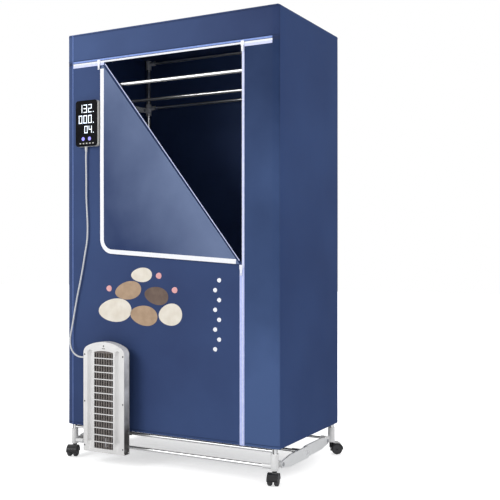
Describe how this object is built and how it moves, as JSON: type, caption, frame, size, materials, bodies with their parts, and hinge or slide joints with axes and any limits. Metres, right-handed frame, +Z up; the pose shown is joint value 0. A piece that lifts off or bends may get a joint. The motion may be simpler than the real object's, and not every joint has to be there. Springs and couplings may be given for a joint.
{
  "type": "drying cabinet",
  "caption": "Folding cloth-covered drying cabinet on casters, with a steel frame, a zipped door, a hung hot-air blower and a wired controller.",
  "frame": {"origin": "on the floor, under the middle of the whole object with its blower and casters", "axes": "+Z up; the door faces -Y; +X to the right of someone who faces the door"},
  "size_m": [0.9486, 0.606, 1.6],
  "materials": {
    "steel": "polished steel tube",
    "pin_steel": "dark steel rivet",
    "white_plastic": "white moulded plastic",
    "white_arms": "white painted pressed channel",
    "caster_plastic": "black moulded plastic",
    "caster_tread": "dark wheel plastic",
    "navy_cloth": "blue coated woven polyester",
    "flap_cloth": "lighter inner side of the blue cloth",
    "zip_tape": "pale lavender zip tape",
    "zip_slider": "pale coated zip slider",
    "window_film": "tinted soft film",
    "vent_net": "blue net",
    "port_net": "dark net",
    "blower_white": "white moulded plastic",
    "blower_grey": "dark grey moulded plastic",
    "grille_dark": "dark grille",
    "screw_steel": "blackened screw",
    "rotor_plastic": "black fan plastic",
    "motor_steel": "zinc plated motor can",
    "bush_brass": "sintered bush",
    "heater_block": "aluminium fins",
    "inlet_black": "black socket",
    "controller_grey": "light grey plastic",
    "display_glass": "black glossy face",
    "cable_grey": "light grey sheath"
  },
  "bodies": {
    "front_frame": {"front_legs": "steel", "front_top_rail": "steel", "front_shelf_rail": "steel", "front_base_rails": "steel", "front_top_caps": "white_plastic", "front_shelf_brackets": "white_plastic", "front_foot_brackets": "white_plastic", "front_pivot_pins": "pin_steel", "header_panel": "navy_cloth", "front_panel": "navy_cloth", "right_panel": "navy_cloth", "top_zip": "zip_tape", "side_zip": "zip_tape", "left_cover": "navy_cloth", "right_cover": "navy_cloth", "top_cover": "navy_cloth", "air_port_mesh": "port_net", "blower_front_shell": "blower_white", "blower_rear_shell": "blower_grey", "blower_grille": "grille_dark", "blower_screws": "screw_steel", "blower_hooks": "steel", "fan_motor": "motor_steel", "fan_bush": "bush_brass", "heater": "heater_block", "mains_inlet": "inlet_black", "controller_body": "controller_grey", "controller_face": "display_glass", "cable_glands": "cable_grey", "control_cable": "cable_grey"},
    "lower_front_arms": {"lower_front_arms": "white_arms", "lower_cross_tube": "steel"},
    "lower_rear_arms": {"lower_rear_arms": "white_arms"},
    "rear_frame": {"rear_legs": "steel", "rear_top_rail": "steel", "rear_shelf_rail": "steel", "rear_base_rails": "steel", "rear_top_caps": "white_plastic", "rear_shelf_brackets": "white_plastic", "rear_foot_brackets": "white_plastic", "rear_pivot_pins": "pin_steel", "rear_cover": "navy_cloth", "rear_window": "window_film", "vent_mesh": "vent_net"},
    "upper_front_arms": {"upper_front_arms": "white_arms", "hanging_rod": "steel"},
    "upper_rear_arms": {"upper_rear_arms": "white_arms"},
    "door_flap": {"door_flap": "flap_cloth"},
    "slider_top_left": {"slider_top_left": "zip_slider"},
    "slider_top_right": {"slider_top_right": "zip_slider"},
    "slider_side": {"slider_side": "zip_slider"},
    "fan_rotor": {"fan_rotor": "rotor_plastic"},
    "caster_fl": {"caster_hood_fl": "caster_plastic"},
    "wheels_fl": {"caster_wheels_fl": "caster_tread"},
    "caster_fr": {"caster_hood_fr": "caster_plastic"},
    "wheels_fr": {"caster_wheels_fr": "caster_tread"},
    "caster_rl": {"caster_hood_rl": "caster_plastic"},
    "wheels_rl": {"caster_wheels_rl": "caster_tread"},
    "caster_rr": {"caster_hood_rr": "caster_plastic"},
    "wheels_rr": {"caster_wheels_rr": "caster_tread"}
  },
  "joints": [
    {"name": "fold", "type": "hinge", "parent": "front_frame", "child": "lower_front_arms", "pos_m": [0, -0.17602, 0.058], "axis": [1, 0, 0], "range_deg": [0, 85], "deforming": ["left_cover", "right_cover", "top_cover"]},
    {"name": "lower_middle", "type": "hinge", "parent": "lower_front_arms", "child": "lower_rear_arms", "pos_m": [0, 0.02198, 0.058], "axis": [1, 0, 0], "range_deg": [-170, 0]},
    {"name": "lower_rear", "type": "hinge", "parent": "lower_rear_arms", "child": "rear_frame", "pos_m": [0, 0.21998, 0.058], "axis": [1, 0, 0], "range_deg": [0, 85]},
    {"name": "upper_front", "type": "hinge", "parent": "front_frame", "child": "upper_front_arms", "pos_m": [0, -0.17602, 1.38], "axis": [1, 0, 0], "range_deg": [0, 85]},
    {"name": "upper_middle", "type": "hinge", "parent": "upper_front_arms", "child": "upper_rear_arms", "pos_m": [0, 0.02198, 1.38], "axis": [1, 0, 0], "range_deg": [-170, 0]},
    {"name": "flap_swing", "type": "hinge", "parent": "front_frame", "child": "door_flap", "pos_m": [0.311, -0.23722, 0.735], "axis": [-0.6179, 0, 0.7863], "range_deg": [0, 150]},
    {"name": "top_left_zip", "type": "slide", "parent": "front_frame", "child": "slider_top_left", "axis": [1, 0, 0], "range_m": [-0.115, 0]},
    {"name": "top_right_zip", "type": "slide", "parent": "front_frame", "child": "slider_top_right", "axis": [1, 0, 0], "range_m": [0, 0.105]},
    {"name": "side_zip_run", "type": "slide", "parent": "front_frame", "child": "slider_side", "axis": [0, 0, 1], "range_m": [-0.57, 0]},
    {"name": "fan_spin", "type": "hinge", "parent": "front_frame", "child": "fan_rotor", "pos_m": [-0.225, -0.28302, 0.1], "axis": [0, 0, 1], "continuous": true},
    {"name": "swivel_fl", "type": "hinge", "parent": "front_frame", "child": "caster_fl", "pos_m": [-0.427, -0.22002, 0.05], "axis": [0, 0, 1], "continuous": true},
    {"name": "roll_fl", "type": "hinge", "parent": "caster_fl", "child": "wheels_fl", "pos_m": [-0.42016, -0.23881, 0.0205], "axis": [0.9397, 0.342, 0], "continuous": true},
    {"name": "swivel_fr", "type": "hinge", "parent": "front_frame", "child": "caster_fr", "pos_m": [0.427, -0.22002, 0.05], "axis": [0, 0, 1], "continuous": true},
    {"name": "roll_fr", "type": "hinge", "parent": "caster_fr", "child": "wheels_fr", "pos_m": [0.43218, -0.23933, 0.0205], "axis": [0.9659, 0.2588, 0], "continuous": true},
    {"name": "swivel_rl", "type": "hinge", "parent": "rear_frame", "child": "caster_rl", "pos_m": [-0.427, 0.26398, 0.05], "axis": [0, 0, 1], "continuous": true},
    {"name": "roll_rl", "type": "hinge", "parent": "caster_rl", "child": "wheels_rl", "pos_m": [-0.44414, 0.27428, 0.0205], "axis": [-0.515, -0.8572, 0], "continuous": true},
    {"name": "swivel_rr", "type": "hinge", "parent": "rear_frame", "child": "caster_rr", "pos_m": [0.427, 0.26398, 0.05], "axis": [0, 0, 1], "continuous": true},
    {"name": "roll_rr", "type": "hinge", "parent": "caster_rr", "child": "wheels_rr", "pos_m": [0.44414, 0.27428, 0.0205], "axis": [-0.515, 0.8572, 0], "continuous": true}
  ],
  "couplings": [
    {"joint": "lower_middle", "follows": "fold", "ratio": -2},
    {"joint": "lower_rear", "follows": "fold", "ratio": 1},
    {"joint": "upper_front", "follows": "fold", "ratio": 1},
    {"joint": "upper_middle", "follows": "fold", "ratio": -2}
  ]
}
